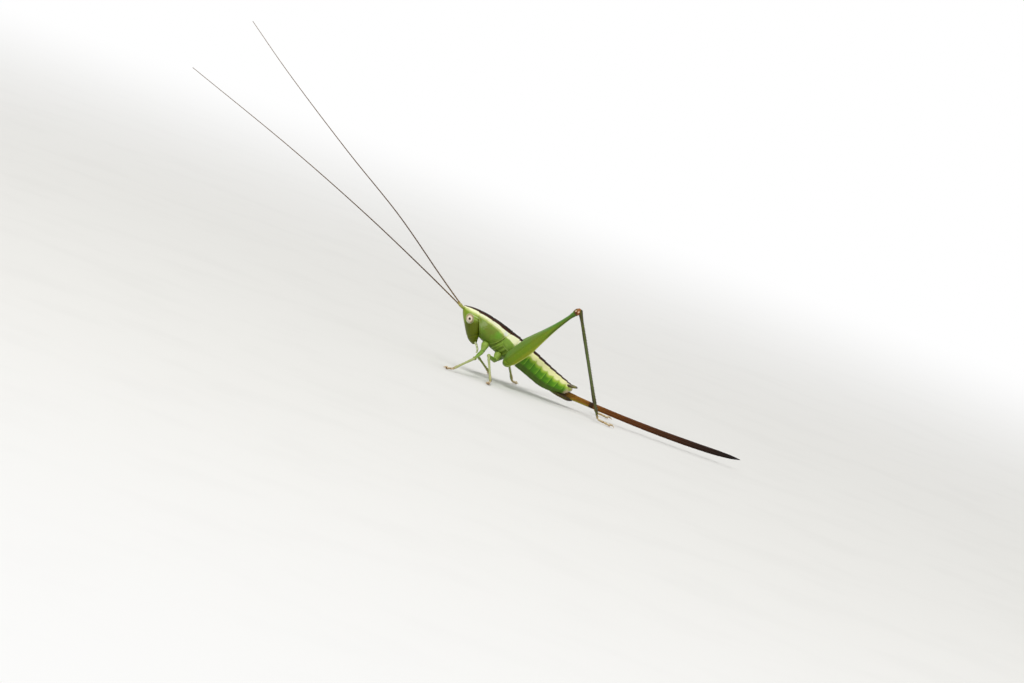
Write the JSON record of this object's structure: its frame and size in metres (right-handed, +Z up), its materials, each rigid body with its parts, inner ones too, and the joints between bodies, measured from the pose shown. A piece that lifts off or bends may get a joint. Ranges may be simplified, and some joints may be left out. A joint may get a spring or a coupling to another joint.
{
  "type": "long-horned grasshopper",
  "caption": "Life-size still model of a green long-horned grasshopper nymph, a standing female with long feelers, raised hind knees and a long sabre-shaped ovipositor.",
  "frame": {"origin": "on the floor, under the middle of the whole figure", "axes": "+Z up, the head points to -X and the ovipositor to +X, the insect's left side is at -Y"},
  "size_m": [0.0708, 0.0242, 0.028],
  "materials": {
    "cuticle": "satin yellow-green cuticle with a dark brown back stripe edged in cream",
    "leg": "satin, slightly translucent green cuticle",
    "shin": "satin grey-green cuticle",
    "foot": "satin pale brown cuticle",
    "eye": "glossy, pale pink-grey with a dark false pupil",
    "palp": "satin pale green cuticle",
    "feeler": "satin dark brown",
    "blade": "glossy red-brown horn, darker to the tip",
    "tail": "satin brown cuticle"
  },
  "bodies": {
    "root": {"head": "cuticle", "pronotum": "cuticle", "thorax": "cuticle", "abdomen": "cuticle", "wing_pad_left": "cuticle", "wing_pad_right": "cuticle", "ovipositor": "blade", "genital_plate": "blade", "eye_left": "eye", "eye_right": "eye", "palp_left": "palp", "palp_right": "palp", "cercus_left": "tail", "cercus_right": "tail", "feeler_left": "feeler", "feeler_right": "feeler", "fore_left_coxa": "leg", "fore_left_femur": "leg", "fore_left_tibia": "leg", "fore_left_foot": "foot", "fore_right_coxa": "leg", "fore_right_femur": "leg", "fore_right_tibia": "leg", "fore_right_foot": "foot", "middle_left_coxa": "leg", "middle_left_femur": "leg", "middle_left_tibia": "leg", "middle_left_foot": "foot", "middle_right_coxa": "leg", "middle_right_femur": "leg", "middle_right_tibia": "leg", "middle_right_foot": "foot", "hind_left_coxa": "leg", "hind_left_femur": "leg", "hind_left_tibia": "shin", "hind_left_foot": "foot", "hind_right_coxa": "leg", "hind_right_femur": "leg", "hind_right_tibia": "shin", "hind_right_foot": "foot"}
  },
  "joints": []
}
